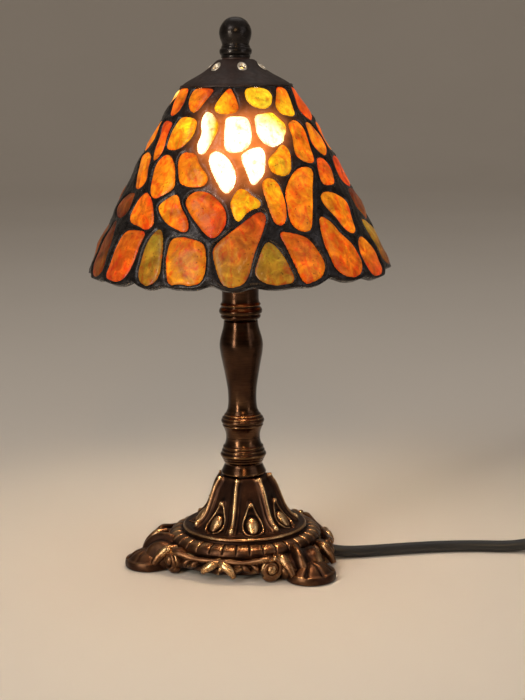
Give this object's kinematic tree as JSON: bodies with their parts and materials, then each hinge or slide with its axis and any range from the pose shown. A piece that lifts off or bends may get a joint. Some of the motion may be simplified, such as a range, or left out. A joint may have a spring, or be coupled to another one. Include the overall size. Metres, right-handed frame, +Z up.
{
  "type": "mosaic table lamp",
  "caption": "Small table lamp with a conical leaded shade of amber stones, a turned stem, a cast three-footed base and a corded inline switch.",
  "frame": {"origin": "middle of the footprint, on the surface the lamp stands on", "axes": "+Z up along the stem; the front of the lamp faces -Y and the cord leaves towards +X"},
  "size_m": [0.4327, 0.1688, 0.3],
  "materials": {
    "antique_bronze": "dark antique copper patina rubbed bright on the high spots",
    "felt": "short black felt",
    "cast_iron": "rough cast",
    "zinc_steel": "zinc plated",
    "cord_rubber": "smooth satin black sheath",
    "black_plastic": "fine moulded texture",
    "ceramic": "off-white steatite",
    "brass": "plain brass",
    "nickel": "bright nickel",
    "bulb_glass": "clear, lit warm",
    "black_patina": "semi-gloss black patina",
    "solder_patina": "black patinated solder bead",
    "amber": "polished translucent amber, lit from inside"
  },
  "bodies": {
    "stand": {"base_casting": "antique_bronze", "felt_pads": "felt", "base_weight": "cast_iron", "lock_washer": "zinc_steel", "rod_nut": "zinc_steel", "threaded_rod": "zinc_steel", "cord_clamp": "zinc_steel", "clamp_screw": "zinc_steel", "cord_bushing": "cord_rubber", "inner_lead": "cord_rubber", "foot_collar": "antique_bronze", "stem_spool": "antique_bronze", "baluster": "antique_bronze", "top_collar": "antique_bronze", "harp_saddle": "brass", "socket_shell": "black_plastic", "socket_insulator": "ceramic", "socket_thread": "brass", "centre_contact": "brass", "harp": "brass", "harp_stud": "zinc_steel", "switch_case_lower": "black_plastic", "switch_case_upper": "black_plastic", "rocker_pin": "zinc_steel", "switch_contacts": "brass", "switch_screws": "zinc_steel", "plug_body": "black_plastic", "plug_relief": "cord_rubber", "plug_pins": "nickel", "cord_lead": "cord_rubber", "cord_mid": "cord_rubber", "cord_tail": "cord_rubber", "cord_coil": "cord_rubber"},
    "seat": {"seat_washer": "felt"},
    "shade": {"shade_cap": "black_patina", "solder_web": "solder_patina", "amber_row_1": "amber", "amber_row_2": "amber", "amber_row_3": "amber", "amber_row_4": "amber", "amber_row_5": "amber"},
    "finial_seat": {"finial_washer": "black_patina"},
    "finial": {"finial": "black_patina"},
    "bulb_seat": {"bulb_contact": "zinc_steel"},
    "bulb": {"bulb_cap": "nickel", "bulb_glass": "bulb_glass", "bulb_filament": "nickel"},
    "rocker": {"switch_rocker": "black_plastic"}
  },
  "joints": [
    {"name": "shade_lift", "type": "slide", "parent": "stand", "child": "seat", "axis": [0, 0, 1], "range_m": [0, 0.13]},
    {"name": "shade_swivel", "type": "hinge", "parent": "seat", "child": "shade", "pos_m": [0, 0, 0.2762], "axis": [0, 0, 1], "continuous": true},
    {"name": "finial_rise", "type": "slide", "parent": "shade", "child": "finial_seat", "axis": [0, 0, 1], "range_m": [0, 0.011]},
    {"name": "finial_turn", "type": "hinge", "parent": "finial_seat", "child": "finial", "pos_m": [0, 0, 0.2784], "axis": [0, 0, 1], "range_deg": [0, 3960.5]},
    {"name": "bulb_rise", "type": "slide", "parent": "stand", "child": "bulb_seat", "axis": [0, 0, 1], "range_m": [0, 0.0155]},
    {"name": "bulb_turn", "type": "hinge", "parent": "bulb_seat", "child": "bulb", "pos_m": [0, 0, 0.1685], "axis": [0, 0, 1], "range_deg": [0, 1980]},
    {"name": "switch_rock", "type": "hinge", "parent": "stand", "child": "rocker", "pos_m": [0.199, -0.005, 0.0105], "axis": [0, -1, 0], "range_deg": [0, 16]}
  ],
  "couplings": [
    {"joint": "finial_turn", "follows": "finial_rise", "rad_per_m": 6283.2},
    {"joint": "bulb_turn", "follows": "bulb_rise", "rad_per_m": 2228.1}
  ]
}
